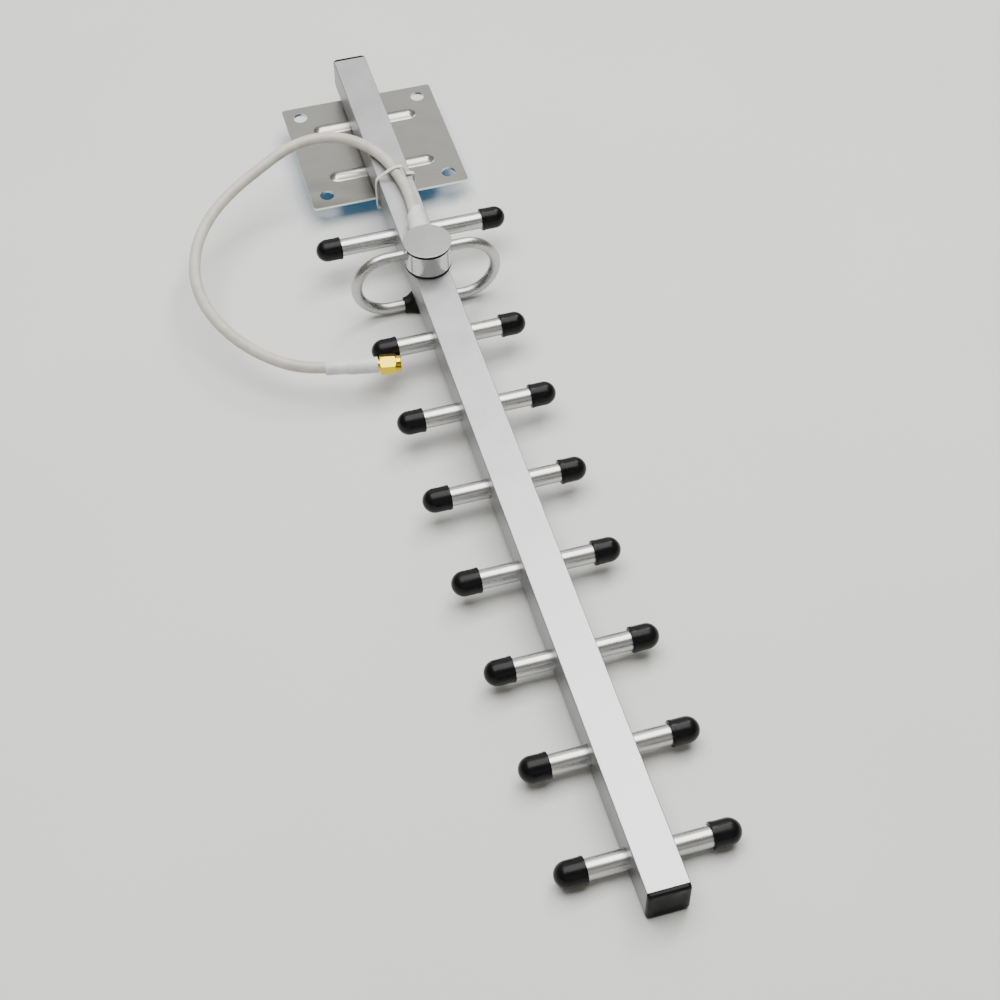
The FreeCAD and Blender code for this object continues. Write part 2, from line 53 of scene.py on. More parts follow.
SHARP_ANGLE = math.radians(35)
ROUND_STEPS = 64


# ---------------------------------------------------------------- camera
CAMERA_PLACE = Vector((-0.1337, -0.6942, 0.5851))
CAMERA_YAW = math.radians(-15.81)
CAMERA_DOWN = math.radians(50.69)
CAMERA_ROLL = math.radians(-0.56)
CAMERA_LENS = 65.85
CAMERA_SENSOR = 36


def make_camera():
    """The scene's camera: placed, turned, tipped down and rolled a little."""
    data = bpy.data.cameras.new("camera")
    data.lens = CAMERA_LENS
    data.sensor_width = CAMERA_SENSOR
    camera = bpy.data.objects.new("camera", data)
    bpy.context.scene.collection.objects.link(camera)
    turn = Matrix.Rotation(CAMERA_YAW, 4, "Z")
    tilt = Matrix.Rotation(math.radians(90) - CAMERA_DOWN, 4, "X")
    roll = Matrix.Rotation(CAMERA_ROLL, 4, "Z")
    camera.matrix_world = Matrix.Translation(CAMERA_PLACE) @ turn @ tilt @ roll
    bpy.context.scene.camera = camera


make_camera()


# ---------------------------------------------------------------- materials
NOISE_LOW, NOISE_HIGH = 0.3, 0.7        # where most of a noise texture's values lie
MIX_LOW, MIX_HIGH = 0.1, 0.9            # the same for drawn lines and clouds together
LINE_STRETCH = 60                       # a drawn line's length over its width
LINE_SHARE, CLOUD_SHARE = 0.55, 0.45
METAL_CLOUD, SKIN_CLOUD = 12 * MM, 6 * MM
STEEP_Z, FLAT_Z = 0.55, 0.97            # a normal's height on a steep face and on a flat one
MIX_COLOUR_A, MIX_COLOUR_B, MIX_COLOUR_OUT = 6, 7, 2
SKIN_SHADE = 0.82                       # the darkest patches of a moulding, beside its colour


def material(name, colour, roughness, metallic=0.0, **sockets):
    """A principled material; sockets are further shader values by name, with _ for a space."""
    made = bpy.data.materials.new(name)
    made.use_nodes = True
    shader = made.node_tree.nodes["Principled BSDF"]
    shader.inputs["Base Color"].default_value = (*colour, 1)
    shader.inputs["Roughness"].default_value = roughness
    shader.inputs["Metallic"].default_value = metallic
    for key, value in sockets.items():
        shader.inputs[key.replace("_", " ")].default_value = value
    return made


def shader_of(made):
    """The material's one shader node."""
    return made.node_tree.nodes["Principled BSDF"]


def noise_field(made, size, detail=3.0, stretch=(1, 1, 1), offset=0.0):
    """Noise from 0 to 1 whose blobs are about size metres; stretch lengthens them along an axis."""
    nodes, links = made.node_tree.nodes, made.node_tree.links
    place = nodes.new("ShaderNodeTexCoord")
    mapping = nodes.new("ShaderNodeMapping")
    mapping.inputs["Scale"].default_value = [1 / (size * s) for s in stretch]
    mapping.inputs["Location"].default_value = (offset, offset, offset)
    texture = nodes.new("ShaderNodeTexNoise")
    texture.inputs["Scale"].default_value = 1
    texture.inputs["Detail"].default_value = detail
    links.new(place.outputs["Object"], mapping.inputs["Vector"])
    links.new(mapping.outputs["Vector"], texture.inputs["Vector"])
    return texture.outputs["Fac"]


def spread(made, value, low, high, start=NOISE_LOW, end=NOISE_HIGH):
    """Maps value from start..end to low..high."""
    node = made.node_tree.nodes.new("ShaderNodeMapRange")
    made.node_tree.links.new(value, node.inputs["Value"])
    node.inputs["From Min"].default_value = start
    node.inputs["From Max"].default_value = end
    node.inputs["To Min"].default_value = low
    node.inputs["To Max"].default_value = high
    return node.outputs["Result"]


def combine(made, first, second):
    """The sum of two values."""
    node = made.node_tree.nodes.new("ShaderNodeMath")
    node.operation = "ADD"
    made.node_tree.links.new(first, node.inputs[0])
    made.node_tree.links.new(second, node.inputs[1])
    return node.outputs["Value"]


def colour_between(made, value, first, second, start=NOISE_LOW, end=NOISE_HIGH):
    """Blends from the first colour to the second as value goes from start to end."""
    node = made.node_tree.nodes.new("ShaderNodeValToRGB")
    made.node_tree.links.new(value, node.inputs["Fac"])
    node.color_ramp.elements[0].position = start
    node.color_ramp.elements[1].position = end
    node.color_ramp.elements[0].color = (*first, 1)
    node.color_ramp.elements[1].color = (*second, 1)
    return node.outputs["Color"]


def set_colour(made, socket):
    made.node_tree.links.new(socket, shader_of(made).inputs["Base Color"])


def set_roughness(made, socket):
    made.node_tree.links.new(socket, shader_of(made).inputs["Roughness"])


def set_bump(made, height, depth):
    """Bump whose height socket of 0 to 1 stands for depth metres."""
    node = made.node_tree.nodes.new("ShaderNodeBump")
    node.inputs["Distance"].default_value = depth
    node.inputs["Strength"].default_value = 1.0
    made.node_tree.links.new(height, node.inputs["Height"])
    made.node_tree.links.new(node.outputs["Normal"], shader_of(made).inputs["Normal"])


def grey(level, blue=0.0):
    """A neutral colour, with some blue added."""
    return (level, level, level + blue)


def brushed_metal(name, dark, light, rough, along, grain=0.0003, depth=4e-6):
    """Metal with fine drawn lines along an axis and cloudy smears."""
    made = material(name, light, rough[0], 1.0)
    stretch = [LINE_STRETCH if axis == along else 1 for axis in "XYZ"]
    lines = noise_field(made, grain, 4.0, stretch)
    cloud = noise_field(made, METAL_CLOUD, 3.0, offset=7.0)
    mixed = combine(made, spread(made, lines, 0, LINE_SHARE), spread(made, cloud, 0, CLOUD_SHARE))
    set_colour(made, colour_between(made, mixed, dark, light, MIX_LOW, MIX_HIGH))
    set_roughness(made, spread(made, mixed, rough[0], rough[1], MIX_LOW, MIX_HIGH))
    set_bump(made, lines, depth)
    return made


def paint_light_on_slopes(made, colour):
    """Paints steep faces another colour: a painted highlight on a sheet's edges, or painted shade on a boom's side
    walls.
    """
    nodes, links = made.node_tree.nodes, made.node_tree.links
    geometry = nodes.new("ShaderNodeNewGeometry")
    split = nodes.new("ShaderNodeSeparateXYZ")
    links.new(geometry.outputs["Normal"], split.inputs["Vector"])
    slope = spread(made, split.outputs["Z"], 1, 0, STEEP_Z, FLAT_Z)
    mix = nodes.new("ShaderNodeMix")
    mix.data_type = "RGBA"
    flat = shader_of(made).inputs["Base Color"].links[0].from_socket
    links.new(slope, mix.inputs["Factor"])
    links.new(flat, mix.inputs[MIX_COLOUR_A])
    mix.inputs[MIX_COLOUR_B].default_value = (*colour, 1)
    set_colour(made, mix.outputs[MIX_COLOUR_OUT])


def moulded(name, colour, rough, grain=0.0004, depth=1.2e-5, **sockets):
    """Plastic or rubber with a fine skin grain and uneven gloss."""
    made = material(name, colour, rough[0], **sockets)
    skin = noise_field(made, grain, 3.0)
    cloud = noise_field(made, SKIN_CLOUD, 3.0, offset=3.0)
    darker = [channel * SKIN_SHADE for channel in colour]
    set_colour(made, colour_between(made, cloud, darker, colour))
    set_roughness(made, spread(made, cloud, rough[0], rough[1]))
    set_bump(made, skin, depth)
    return made


BOOM_METAL = brushed_metal("boom_metal", (0.415, 0.415, 0.425), (0.485, 0.485, 0.497),
                           (0.38, 0.46), "Y")
TUBE_METAL = brushed_metal("tube_metal", grey(0.50), grey(0.57), (0.25, 0.30), "X", depth=3e-7)
ROD_METAL = brushed_metal("rod_metal", grey(0.40), grey(0.60), (0.24, 0.36), "X", depth=2e-6)
HOUSING_METAL = brushed_metal("housing_metal", grey(0.56), grey(0.59), (0.19, 0.23), "Z",
                              depth=2e-7)
LID_METAL = brushed_metal("lid_metal", grey(0.44), grey(0.49), (0.28, 0.34), "X", depth=2e-6)
PLATE_METAL = brushed_metal("plate_metal", (0.322, 0.322, 0.302), (0.342, 0.342, 0.322),
                            (0.27, 0.30), "X", depth=2e-7)
# Painted highlight: the sheet's steep edges get a light colour for the shine they catch.
paint_light_on_slopes(PLATE_METAL, (0.80, 0.80, 0.78))
# Painted shade: the boom's side walls get a darker colour because they catch less light than the top.
paint_light_on_slopes(BOOM_METAL, (0.30, 0.30, 0.305))
SCREW_METAL = brushed_metal("screw_metal", grey(0.45), grey(0.62), (0.25, 0.4), "Z")
GOLD = brushed_metal("gold", (0.58, 0.42, 0.02), (0.72, 0.54, 0.03), (0.10, 0.17), "X", depth=4e-7)
COPPER = brushed_metal("copper", (0.62, 0.32, 0.18), (0.85, 0.50, 0.32), (0.25, 0.4), "Z")
CAP_RUBBER = moulded("cap_rubber", (0.004, 0.004, 0.0045), (0.22, 0.34),
                     Specular_IOR_Level=0.17)
BLACK_PLASTIC = moulded("black_plastic", (0.004, 0.004, 0.004), (0.34, 0.46),
                        Specular_IOR_Level=0.13)
SEAL_RUBBER = moulded("seal_rubber", (0.42, 0.07, 0.04), (0.5, 0.65))
# Painted glow: the film's emission lights the floor under the plate blue in place of bounced light; the film is no
# lamp.
BLUE_FILM_PAINTED_GLOW = moulded("blue_film", (0.01, 0.29, 0.55), (0.16, 0.30),
                    Emission_Color=(0.005, 0.22, 0.46, 1), Emission_Strength=0.3)
CABLE_JACKET = moulded("cable_jacket", (0.54, 0.515, 0.45), (0.36, 0.50))
WHITE_SLEEVE = moulded("white_sleeve", (0.68, 0.68, 0.675), (0.38, 0.52))
NYLON = moulded("nylon", (0.70, 0.70, 0.64), (0.30, 0.45))
PTFE = moulded("ptfe", (0.85, 0.85, 0.82), (0.40, 0.50))
FEED_PLASTIC = moulded("feed_plastic", (0.76, 0.74, 0.66), (0.40, 0.55))


def dress(piece, made):
    """Gives a piece its one material."""
    piece.data.materials.clear()
    piece.data.materials.append(made)


SLOT_MATERIALS = {
    "boom_aluminium": BOOM_METAL,
    "tube_aluminium": TUBE_METAL,
    "rod_aluminium": ROD_METAL,
    "housing_metal": HOUSING_METAL,
    "plate_steel": PLATE_METAL,
    "cap_rubber": CAP_RUBBER,
    "black_plastic": BLACK_PLASTIC,
    "blue_film": BLUE_FILM_PAINTED_GLOW,
    "screw_steel": SCREW_METAL,
    "feed_plastic": FEED_PLASTIC,
    "copper_wire": COPPER,
    "white_sleeve": WHITE_SLEEVE,
    "cable_jacket": CABLE_JACKET,
    "nylon": NYLON,
    "gold_plate": GOLD,
    "ptfe": PTFE,
    "seal_rubber": SEAL_RUBBER,
}

for subpart in frame["record"]["subparts"]:
    node = NODES[subpart["node"]]
    node.data.materials.clear()
    node.data.materials.append(SLOT_MATERIALS[subpart["material_slot"]])


# ---------------------------------------------------------------- connector frame
SPIN = frame["joints"][0]
CONNECTOR_REAR = Vector(SPIN["pos_m"])
CONNECTOR_WAY = Vector(SPIN["axis"]).normalized()


def on_connector(along):
    """A point on the connector's axis, along metres in front of the nut's rear face."""
    return CONNECTOR_REAR + CONNECTOR_WAY * along


# ---------------------------------------------------------------- cable
CABLE_DIAMETER = 5.2 * MM
CABLE_ROUTE = [
    (0.0004, -0.1005, 0.0244),
    (0.0012, -0.0820, 0.0229),
    (0.0030, -0.0615, 0.0220),
    (0.0004, -0.0440, 0.0220),
    (-0.0050, -0.0289, 0.0224),
    (-0.0156, -0.0170, 0.0224),
    (-0.0294, -0.0115, 0.0217),
    (-0.0444, -0.0132, 0.0202),
    (-0.0598, -0.0221, 0.0183),
    (-0.0746, -0.0316, 0.0165),
    (-0.0879, -0.0444, 0.0151),
    (-0.0977, -0.0616, 0.0138),
    (-0.1024, -0.0834, 0.0129),
    (-0.0992, -0.1062, 0.0123),
    (-0.0884, -0.1282, 0.0118),
    (-0.0712, -0.1458, 0.0113),
    tuple(on_connector(-17.0 * MM)),
    tuple(on_connector(-4.6 * MM)),
]


def make_cable():
    """The coax, as one smooth spline along its route."""
    data = bpy.data.curves.new("cable", "CURVE")
    data.dimensions = "3D"
    data.resolution_u = 16
    data.bevel_depth = CABLE_DIAMETER / 2
    data.bevel_resolution = 8
    data.use_fill_caps = True
    spline = data.splines.new("NURBS")
    spline.points.add(len(CABLE_ROUTE) - 1)
    for point, place in zip(spline.points, CABLE_ROUTE):
        point.co = (*place, 1)
    spline.order_u = 3
    spline.use_endpoint_u = True
    cable = bpy.data.objects.new("cable", data)
    bpy.context.scene.collection.objects.link(cable)
    dress(cable, CABLE_JACKET)
    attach(cable, "antenna")
    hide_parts("coax_cable")
    return cable


CABLE = make_cable()


# ---------------------------------------------------------------- building pieces
WELD_DISTANCE = 1e-6
FLAT_ANGLE = math.radians(1)
LARGEST_FACE_WEIGHT = 100
WOBBLE_SIZE = 4 * MM


def add_piece(name, mesh, made, slot, body, *replaced):
    """Puts a finished mesh in the scene on a body, in place of some CAD nodes."""
    mesh.set_sharp_from_angle(angle=SHARP_ANGLE)
    piece = bpy.data.objects.new(name, mesh)
    bpy.context.scene.collection.objects.link(piece)
    dress(piece, made)
    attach(piece, body)
    if replaced:
        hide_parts(*replaced)
    return piece


def mesh_from(name, build):
    """Runs build on an empty bmesh and returns its tidy, smooth-shaded mesh."""
    work = bmesh.new()
    build(work)
    bmesh.ops.recalc_face_normals(work, faces=work.faces)
    for face in work.faces:
        face.smooth = True
    mesh = bpy.data.meshes.new(name)
    work.to_mesh(mesh)
    work.free()
    return mesh


def loft(name, rings, closed=False):
    """Skins a list of equal rings; the ends are capped unless the last ring joins the first."""
    def build(work):
        rows = [[work.verts.new(place) for place in ring] for ring in rings]
        pairs = list(zip(rows, rows[1:]))
        if closed:
            pairs.append((rows[-1], rows[0]))
        for near, far in pairs:
            for i in range(len(near)):
                work.faces.new((near[i - 1], near[i], far[i], far[i - 1]))
        if not closed:
            work.faces.new(rows[0])
            work.faces.new(rows[-1])
    return mesh_from(name, build)


def ring_round(centre, way, radius):
    """Points on a circle about centre, square to way."""
    side = way.orthogonal().normalized()
    up = way.cross(side).normalized()
    angles = [2 * math.pi * i / ROUND_STEPS for i in range(ROUND_STEPS)]
    return [centre + radius * (math.cos(a) * side + math.sin(a) * up) for a in angles]


def lathe(name, profile, origin, way, closed=False, wobble=0.0, seed=0.0):
    """Turns (distance along, radius) points about an axis; wobble is how far the skin wanders."""
    rings = [ring_round(origin + way * along, way, radius) for along, radius in profile]
    for ring, (along, _) in zip(rings, profile):
        for i, place in enumerate(ring):
            out = place - origin - way * along
            drift = noise.noise(place / WOBBLE_SIZE + Vector((seed, 0, 0)))
            ring[i] = place + out.normalized() * wobble * drift
    return loft(name, rings, closed)


def even_normals(piece):
    """Lets the large flat faces keep flat normals, so only the rounded edges catch light."""
    keep = piece.modifiers.new("even_normals", "WEIGHTED_NORMAL")
    keep.mode = "FACE_AREA"
    keep.weight = LARGEST_FACE_WEIGHT
    keep.keep_sharp = True


def carve(mesh, knife):
    """The mesh with the knife's volume taken out of it."""
    pair = [bpy.data.objects.new("carve", data) for data in (mesh, knife)]
    for item in pair:
        bpy.context.scene.collection.objects.link(item)
    cut = pair[0].modifiers.new("cut", "BOOLEAN")
    cut.operation = "DIFFERENCE"
    cut.object = pair[1]
    graph = bpy.context.evaluated_depsgraph_get()
    carved = bpy.data.meshes.new_from_object(pair[0].evaluated_get(graph), depsgraph=graph)
    for item in pair:
        bpy.data.objects.remove(item)
    return carved


def soften(node, made, slot, width, body="antenna"):
    """A copy of a CAD node whose sharp outer edges are rounded by width."""
    work = bmesh.new()
    work.from_mesh(NODES[node].data)
    bmesh.ops.remove_doubles(work, verts=work.verts, dist=WELD_DISTANCE)
    bmesh.ops.dissolve_limit(work, angle_limit=FLAT_ANGLE, verts=work.verts, edges=work.edges)
    sharp = [edge for edge in work.edges
             if len(edge.link_faces) == 2 and edge.calc_face_angle() > SHARP_ANGLE]
    bmesh.ops.bevel(work, geom=sharp, offset=width, segments=3, profile=0.5, affect="EDGES",
                    clamp_overlap=True)
    for face in work.faces:
        face.smooth = True
    mesh = bpy.data.meshes.new(node + "_soft")
    work.to_mesh(mesh)
    work.free()
    even_normals(add_piece(node + "_soft", mesh, made, slot, body, node))


def middle_of(node):
    """The middle of a CAD node's box."""
    low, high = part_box(node)
    return (low + high) / 2


# ---------------------------------------------------------------- element caps
CAP_WALL = 1.1 * MM
CAP_DEPTH = 8.2 * MM
CAP_LIP = 0.13 * MM                     # how far the lip stands over the barrel
CAP_WOBBLE = 0.05 * MM
CAP_SEED_STEP = 3.7
DOME_STEPS = 12.5                       # the half step leaves a small flat tip to cap


def make_cap(node, seed):
    """Soft rubber cap: a rolled lip at the open end, a straight barrel and a round dome."""
    low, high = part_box(node)
    side = 1 if middle_of(node).x > 0 else -1
    open_end = Vector((low.x if side > 0 else high.x, middle_of(node).y, middle_of(node).z))
    length = high.x - low.x
    lip = (high.z - low.z) / 2
    barrel = lip - CAP_LIP
    bore = barrel - CAP_WALL
    profile = [(CAP_DEPTH, 0.01 * MM), (CAP_DEPTH, bore), (0.3 * MM, bore), (0, bore + 0.25 * MM),
               (0, lip - 0.35 * MM), (0.12 * MM, lip - 0.1 * MM), (0.4 * MM, lip), (0.8 * MM, lip),
               (1.5 * MM, barrel + 0.03 * MM), (2.6 * MM, barrel - 0.03 * MM)]
    dome_start = length - barrel
    for step in range(math.ceil(DOME_STEPS)):
        angle = math.radians(90 * step / DOME_STEPS)
        profile.append((dome_start + barrel * math.sin(angle), barrel * math.cos(angle)))
    mesh = lathe(node + "_rubber", profile, open_end, X_AXIS * side, wobble=CAP_WOBBLE, seed=seed)
    add_piece(node + "_rubber", mesh, CAP_RUBBER, "cap_rubber", "antenna", node)


CAP_NODES = sorted(name for name in NODES if "_cap_" in name)
for index, cap_node in enumerate(CAP_NODES):
    make_cap(cap_node, index * CAP_SEED_STEP)


# ---------------------------------------------------------------- boom, nut, lid and plugs
PLUG_SPIGOT_INSET = 1.3 * MM
CORNER_STEPS = 8
# Millimetres out of the boom, inset from its section, and corner radius.
PLUG_FLANGE = ((0.12, 0.05, 1.1), (0.3, 0, 1.2), (1.2, 0, 1.4), (1.6, 0.14, 1.7), (1.84, 0.42, 1.9),
               (1.96, 0.8, 2.0), (2.0, 1.3, 2.0), (1.93, 1.9, 1.8), (1.75, 2.5, 1.6),
               (1.7, 5.0, 1.0))

soften("boom", BOOM_METAL, "boom_aluminium", 0.12 * MM)
soften("coupling_nut", GOLD, "gold_plate", 0.22 * MM, "nut")
NODES["housing_lid"].data.materials[0] = LID_METAL


def square_ring(y, half, corner):
    """Points on a rounded square of the boom's section, at y."""
    centre = middle_of("boom")
    points = []
    for quarter in range(4):
        turn = math.radians(90 * quarter)
        for step in range(CORNER_STEPS + 1):
            angle = math.radians(90 * step / CORNER_STEPS)
            x = half - corner + corner * math.cos(angle)
            z = half - corner + corner * math.sin(angle)
            points.append(Vector((x * math.cos(turn) - z * math.sin(turn), y,
                                  centre.z + x * math.sin(turn) + z * math.cos(turn))))
    return points


def make_plug(node, boom_end, way):
    """Push-in plug: a spigot in the tube, a flange with rounded corners, a shallow dished face."""
    low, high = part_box(node)
    half = (high.z - low.z) / 2
    inside = low.y if way > 0 else high.y
    spigot = half - PLUG_SPIGOT_INSET
    steps = [(inside, spigot - 0.6 * MM, 0.4 * MM), (inside, spigot - 0.2 * MM, 0.4 * MM),
             (boom_end, spigot, 0.4 * MM), (boom_end, half - 0.3 * MM, 0.9 * MM)]
    for ahead, inset, corner in PLUG_FLANGE:
        steps.append((boom_end + way * ahead * MM, half - inset * MM, corner * MM))
    mesh = loft(node + "_moulding", [square_ring(*step) for step in steps])
    add_piece(node + "_moulding", mesh, BLACK_PLASTIC, "black_plastic", "antenna", node)


make_plug("boom_plug_front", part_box("boom")[0].y, -1)
make_plug("boom_plug_rear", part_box("boom")[1].y, 1)


# ---------------------------------------------------------------- mast plate
PLATE_THICKNESS = 1.2 * MM
BEAD_Y = 18 * MM
BEAD_HALF_LENGTH = 21.5 * MM
BEAD_FOOT = 3.9 * MM
BEAD_END_STRETCH = 0.85
BEAD_CROWN = 1.04                       # the crown's height, beside the CAD bead's
BEAD_ROUND = 1.35                       # higher is a narrower crown with a softer foot
BEAD_SINK = 0.03 * MM
BEAD_SKIRT = 0.5 * MM
BEAD_STEPS = 20
BEAD_RINGS = 100


def bead_ring(x, bead_y, base, height):
    """Section of a pressed bead at x: a round crown with a soft foot, closed under the sheet."""
    past_end = max(abs(x) - BEAD_HALF_LENGTH, 0) * BEAD_END_STRETCH
    ring = []
    for step in range(2 * BEAD_STEPS + 1):
        y = BEAD_FOOT * (step / BEAD_STEPS - 1)
        away = min(math.hypot(past_end, y) / BEAD_FOOT, 1)
        rise = BEAD_CROWN * height * (1 - away ** 2) ** BEAD_ROUND - BEAD_SINK
        ring.append(Vector((x, bead_y + y, base + rise)))
    for y in (BEAD_FOOT, -BEAD_FOOT):
        ring.append(Vector((x, bead_y + y, base - BEAD_SKIRT)))
    return ring


def make_plate():
    """The sheet with its edges rounded, and the crowns of its two beads."""
    soften("mount_plate", PLATE_METAL, "plate_steel", 0.3 * MM)
    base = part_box("mount_plate")[0].z + PLATE_THICKNESS
    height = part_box("boom")[0].z - base
    end = BEAD_HALF_LENGTH + BEAD_FOOT / BEAD_END_STRETCH
    for name, bead_y in (("bead_front", -BEAD_Y), ("bead_rear", BEAD_Y)):
        rings = [bead_ring(end * (step / BEAD_RINGS - 1), bead_y, base, height)
                 for step in range(2 * BEAD_RINGS + 1)]
        add_piece(name, loft(name, rings), PLATE_METAL, "plate_steel", "antenna")


make_plate()


# ---------------------------------------------------------------- dipole boot
BOOT_SLEEVE_R = 3.5 * MM
BOOT_BORE_R = 2.53 * MM
BOOT_BORE_SPAN = (-0.01, 0.04)          # past both ends of the boot, from its left end
BOOT_RECESS_R = 3.0 * MM
BOOT_CLEARANCE = 0.995                  # keeps the boot's top just off the boom


def boxy_ring(x, half_width, bottom, top, square):
    """A ring across the boot at x, from a circle (square 2) to nearly a rectangle (square 6)."""
    centre = middle_of("dipole_saddle")
    points = []
    for i in range(ROUND_STEPS):
        angle = 2 * math.pi * i / ROUND_STEPS
        c, s = math.cos(angle), math.sin(angle)
        y = half_width * math.copysign(abs(c) ** (2 / square), c)
        z = (top + bottom) / 2 + (top - bottom) / 2 * math.copysign(abs(s) ** (2 / square), s)
        points.append(Vector((x, centre.y + y, z)))
    return points


def make_boot():
    """Boot on the dipole's lower leg: two round sleeves that flare into a pad under the boom."""
    low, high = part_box("dipole_saddle")
    sleeve = BOOT_SLEEVE_R
    top_of_sleeve = low.z + 2 * sleeve
    reach = (high.z - top_of_sleeve) * BOOT_CLEARANCE
    pad = (high.y - low.y) / 2
    stations = [
        (high.x - 0.7 * MM, sleeve - 0.9 * MM, 0.9 * MM, -0.9 * MM, 2.0),
        (high.x, sleeve - 0.8 * MM, 0.8 * MM, -0.8 * MM, 2.0),
        (high.x, sleeve - 0.25 * MM, 0.25 * MM, -0.25 * MM, 2.0),
        (high.x - 0.25 * MM, sleeve, 0, 0, 2.0),
        (high.x - 1.6 * MM, sleeve + 0.05 * MM, 0, 0.15 * MM, 2.2),
        (high.x - 2.8 * MM, sleeve + 0.3 * MM, 0, 0.5 * MM, 2.8),
        (high.x - 4.2 * MM, sleeve + 0.7 * MM, 0, 1.05 * MM, 4.0),
        (high.x - 5.0 * MM, pad - 0.1 * MM, 0, reach - 0.7 * MM, 5.0),
        (high.x - 5.7 * MM, pad, 0, reach, 6.0),
    ]
    right = [boxy_ring(x, half, low.z + lift, top_of_sleeve + rise, square)
             for x, half, lift, rise, square in stations]
    left = [[Vector((-p.x, p.y, p.z)) for p in ring] for ring in reversed(right)]
    mesh = loft("dipole_boot", right + left)
    leg = low + Vector((0, pad, sleeve))
    bore = lathe("boot_bore", [(along, BOOT_BORE_R) for along in BOOT_BORE_SPAN], leg, X_AXIS)
    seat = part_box("folded_dipole")[0].z
    under = Vector((0, leg.y, low.z - 1 * MM))
    recess_profile = [(0, BOOT_RECESS_R), (seat - under.z, BOOT_RECESS_R)]
    recess = lathe("boot_recess", recess_profile, under, Z_AXIS)
    mesh = carve(carve(mesh, bore), recess)
    add_piece("dipole_boot", mesh, BLACK_PLASTIC, "black_plastic", "antenna", "dipole_saddle")


make_boot()


# ---------------------------------------------------------------- cable tie
TIE_WIDTH = 1.9 * MM
TIE_EDGE = 0.35 * MM
TIE_HEAD = (4.0 * MM, 3.6 * MM, 2.8 * MM)
TIE_TAIL = (2.4 * MM, TIE_WIDTH, 0.9 * MM)


def make_tie():
    """A thin band in a plane across the boom, slack on the left, humped over the cable."""
    low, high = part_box("zip_tie")
    boom_low, boom_top = (corner.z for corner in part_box("boom"))
    half = (high.x - low.x) / 2 - TIE_EDGE
    over = high.z - TIE_EDGE
    corners = [
        (-half + 1.0 * MM, boom_low - 0.5 * MM), (half - 1.0 * MM, boom_low - 0.5 * MM),
        (half, boom_low), (half, boom_low + 3 * MM), (half, boom_top - 2 * MM),
        (half, boom_top + 0.5 * MM), (half - 2 * MM, boom_top + 0.9 * MM),
        (5.4 * MM, boom_top + 0.8 * MM), (4.2 * MM, over - 1.2 * MM), (3.4 * MM, over),
        (0.6 * MM, over), (-1.4 * MM, over - 0.6 * MM),
        (-5.0 * MM, boom_top + 3.2 * MM), (-half + 0.6 * MM, boom_top + 1.0 * MM),
        (-half, boom_top - 2 * MM), (-half, boom_low + 3 * MM), (-half, boom_low),
    ]
    data = bpy.data.curves.new("zip_tie_band", "CURVE")
    data.dimensions = "2D"
    data.resolution_u = 8
    data.extrude = TIE_WIDTH / 2 - TIE_EDGE
    data.bevel_depth = TIE_EDGE
    data.bevel_resolution = 3
    data.fill_mode = "NONE"
    spline = data.splines.new("NURBS")
    spline.points.add(len(corners) - 1)
    for point, (x, z) in zip(spline.points, corners):
        point.co = (x, z, 0, 1)
    spline.order_u = 3
    spline.use_cyclic_u = True
    band = bpy.data.objects.new("zip_tie_band", data)
    bpy.context.scene.collection.objects.link(band)
    band.rotation_euler = (math.radians(90), 0, 0)
    band.location = (0, middle_of("zip_tie").y, 0)
    dress(band, NYLON)
    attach(band, "antenna")
    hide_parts("zip_tie")


def make_tie_head():
    """The tie's little ratchet head and cut tail, under the boom."""
    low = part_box("zip_tie")[0]
    centre = Vector((3.4 * MM, middle_of("zip_tie").y, low.z + 1.5 * MM))

    def build(work):
        for middle, size in ((centre, TIE_HEAD), (centre - X_AXIS * 3 * MM, TIE_TAIL)):
            shape = Matrix.Translation(middle) @ Matrix.Diagonal((*size, 1))
            bmesh.ops.create_cube(work, size=1, matrix=shape)
        bmesh.ops.bevel(work, geom=work.edges[:], offset=0.3 * MM, segments=3, profile=0.5,
                        affect="EDGES")
    mesh = mesh_from("zip_tie_head", build)
    add_piece("zip_tie_head", mesh, NYLON, "nylon", "antenna")


make_tie()
make_tie_head()


# ---------------------------------------------------------------- sleeves and thread
RELIEF_RADIUS = 4.6 * MM
RELIEF_LENGTH = 21.5 * MM
RELIEF_SLANT = 3.0 * MM                 # how far the cut end leans each way
RELIEF_LIP = 0.2 * MM
RELIEF_CRUMPLE = 0.35 * MM
CRUMPLE_SIZE = 3.5 * MM
# Share of the sleeve's length, and its swelling there.
RELIEF_STATIONS = ((0, 1.0), (0.15, 1.02), (0.3, 1.0), (0.45, 0.99), (0.6, 1.0), (0.72, 0.97),
                   (0.84, 0.93), (0.93, 0.90), (0.985, 0.88), (1.0, 0.84))
SLEEVE_BORE = CABLE_DIAMETER / 2 / MM - 0.05
# Millimetres along the connector's axis, and radius.
SLEEVE_PROFILE = ((-22.6, SLEEVE_BORE), (-23.3, SLEEVE_BORE), (-23.5, 2.95), (-23.2, 3.06),
                  (-22.4, 3.02), (-20.0, 3.05), (-17.0, 3.03), (-14.6, 3.08), (-13.9, 3.2),
                  (-13.4, 3.42), (-12.8, 3.46), (-10.0, 3.43), (-6.0, 3.46), (-2.4, 3.45),
                  (-1.2, 3.47), (-0.85, 3.36), (-0.8, 2.9), (-1.5, 2.75))
SLEEVE_WOBBLE = 0.06 * MM
# The thread, in millimetres along the connector's axis.
THREAD_START, THREAD_END = 3.9, 8.6
THREAD_PITCH = 0.66
THREAD_TURNS = 7
THREAD_BACK_R, THREAD_ROOT_R, THREAD_CREST_R = 3.35, 3.17, 2.92


def cable_line():
    """Points along the middle of the cable, read from its own spline."""
    bare = CABLE.copy()
    bare.data = CABLE.data.copy()
    bare.data.bevel_depth = 0
    bpy.context.scene.collection.objects.link(bare)
    bpy.context.view_layer.update()
    graph = bpy.context.evaluated_depsgraph_get()
    mesh = bpy.data.meshes.new_from_object(bare.evaluated_get(graph))
    points = [vertex.co.copy() for vertex in mesh.vertices]
    bpy.data.objects.remove(bare)
    return points


